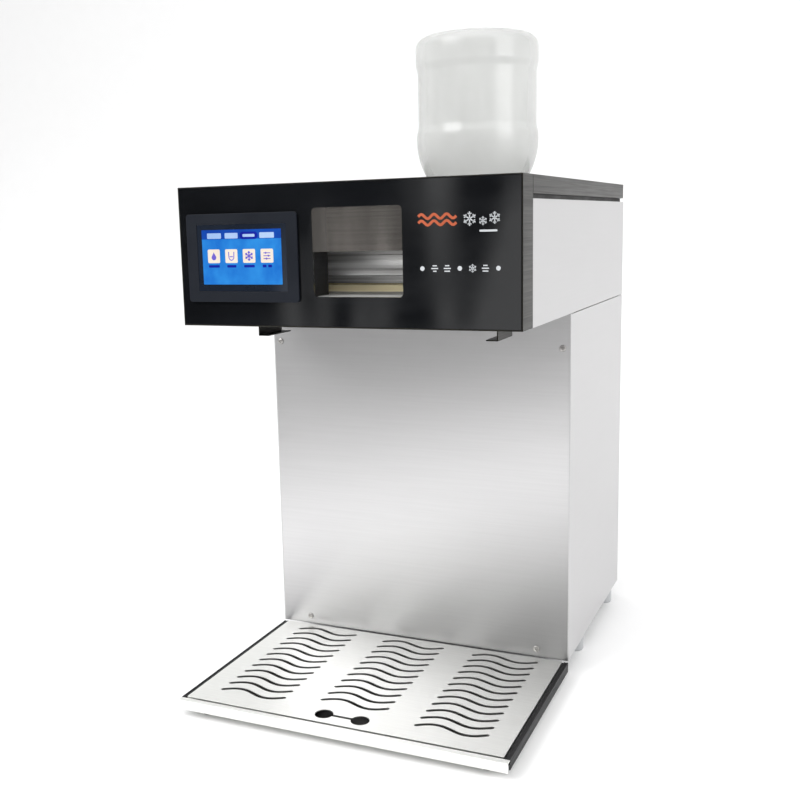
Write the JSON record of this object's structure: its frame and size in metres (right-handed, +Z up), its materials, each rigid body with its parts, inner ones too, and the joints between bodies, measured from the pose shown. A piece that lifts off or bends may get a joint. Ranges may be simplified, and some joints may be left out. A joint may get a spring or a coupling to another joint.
{
  "type": "shaved ice machine",
  "caption": "Counter-top snow ice machine with an overhanging freezing-drum head, touch screen, inverted liquid bottle and slotted drip tray.",
  "frame": {"origin": "centre of the footprint of cabinet and drip tray, on the counter", "axes": "+Z up, -Y to the front where the touch screen and the drip tray are, +X to the right of someone facing the front"},
  "size_m": [0.43, 0.63, 0.874],
  "materials": {
    "brushed_steel": "satin",
    "inner_steel": "satin",
    "tray_steel": "satin",
    "polished_steel": "polished",
    "black_brushed": "satin",
    "black_glass": "glossy",
    "clear_pane": "glossy",
    "bezel": "satin",
    "screen": "glossy",
    "rubber": "matt",
    "foot_grey": "satin",
    "white_plastic": "satin",
    "bottle_plastic": "glossy",
    "blue_plastic": "satin",
    "brass": "satin",
    "copper": "satin",
    "motor_grey": "satin",
    "black_enamel": "gloss",
    "board_green": "satin",
    "black_plastic": "satin",
    "red_plastic": "satin",
    "aluminium": "satin",
    "screw_steel": "satin"
  },
  "bodies": {
    "cabinet": {"base_pan": "inner_steel", "foot_front_left": "foot_grey", "foot_front_right": "foot_grey", "foot_rear_left": "foot_grey", "foot_rear_right": "foot_grey", "corner_posts": "inner_steel", "tower_front_panel": "brushed_steel", "tower_side_left": "brushed_steel", "tower_side_right": "brushed_steel", "head_side_left": "brushed_steel", "head_side_right": "brushed_steel", "back_panel": "brushed_steel", "head_deck": "brushed_steel", "fascia_frame": "black_brushed", "front_glass": "black_glass", "window_pane": "clear_pane", "window_shroud": "black_brushed", "touch_module": "bezel", "touch_screen": "screen", "lid_gasket": "rubber", "outlet_bracket_left": "black_brushed", "outlet_bracket_right": "black_brushed", "snow_chute": "inner_steel", "drum_side_plates": "inner_steel", "drum_bearings": "polished_steel", "liquid_trough": "white_plastic", "rotary_joint": "brass", "gear_motor": "motor_grey", "motor_bracket": "inner_steel", "drive_belt": "rubber", "feed_reservoir": "white_plastic", "feed_pump": "motor_grey", "feed_hoses": "white_plastic", "compressor": "black_enamel", "condenser": "aluminium", "fan_shroud": "inner_steel", "fan_motor": "motor_grey", "filter_drier": "copper", "refrigerant_pipes": "copper", "control_box": "inner_steel", "main_board": "board_green", "power_inlet": "black_plastic", "switch_housing": "black_plastic", "cabinet_screws": "screw_steel"},
    "lid": {"top_lid": "black_brushed", "bottle_seat": "white_plastic"},
    "bottle": {"water_bottle": "bottle_plastic", "bottle_cap": "blue_plastic"},
    "drum": {"drum_shell": "polished_steel", "drum_shaft": "inner_steel"},
    "motor_wheel": {"motor_pulley": "aluminium"},
    "fan": {"fan_blades": "black_plastic"},
    "scraper": {"scraper_blade": "polished_steel", "blade_clamp": "brass", "blade_holder": "inner_steel"},
    "rocker": {"power_rocker": "red_plastic"},
    "tray": {"drip_tray": "tray_steel", "tray_rails": "black_brushed", "tray_pads": "rubber"},
    "grate": {"drip_grate": "tray_steel"}
  },
  "joints": [
    {"name": "drum_spin", "type": "hinge", "parent": "cabinet", "child": "drum", "pos_m": [0.021, -0.105, 0.572], "axis": [1, 0, 0], "continuous": true},
    {"name": "motor_spin", "type": "hinge", "parent": "cabinet", "child": "motor_wheel", "pos_m": [0.165, 0.02, 0.54], "axis": [1, 0, 0], "continuous": true},
    {"name": "fan_spin", "type": "hinge", "parent": "cabinet", "child": "fan", "pos_m": [-0.085, 0.24, 0.17], "axis": [0, 1, 0], "continuous": true},
    {"name": "blade_release", "type": "hinge", "parent": "cabinet", "child": "scraper", "pos_m": [0.021, -0.15, 0.503], "axis": [1, 0, 0], "range_deg": [0, 18]},
    {"name": "lid_lift", "type": "slide", "parent": "cabinet", "child": "lid", "axis": [0, 0, 1], "range_m": [0, 0.12]},
    {"name": "bottle_lift", "type": "slide", "parent": "lid", "child": "bottle", "axis": [0, 0, 1], "range_m": [0, 0.25]},
    {"name": "tray_slide", "type": "slide", "parent": "cabinet", "child": "tray", "axis": [0, -1, 0], "range_m": [0, 0.24]},
    {"name": "grate_lift", "type": "slide", "parent": "tray", "child": "grate", "axis": [0, 0, 1], "range_m": [0, 0.06]},
    {"name": "power_toggle", "type": "hinge", "parent": "cabinet", "child": "rocker", "pos_m": [0.1635, 0.3075, 0.118], "axis": [-1, 0, 0], "range_deg": [0, 14]}
  ],
  "couplings": [
    {"joint": "motor_spin", "follows": "drum_spin", "ratio": 2}
  ]
}
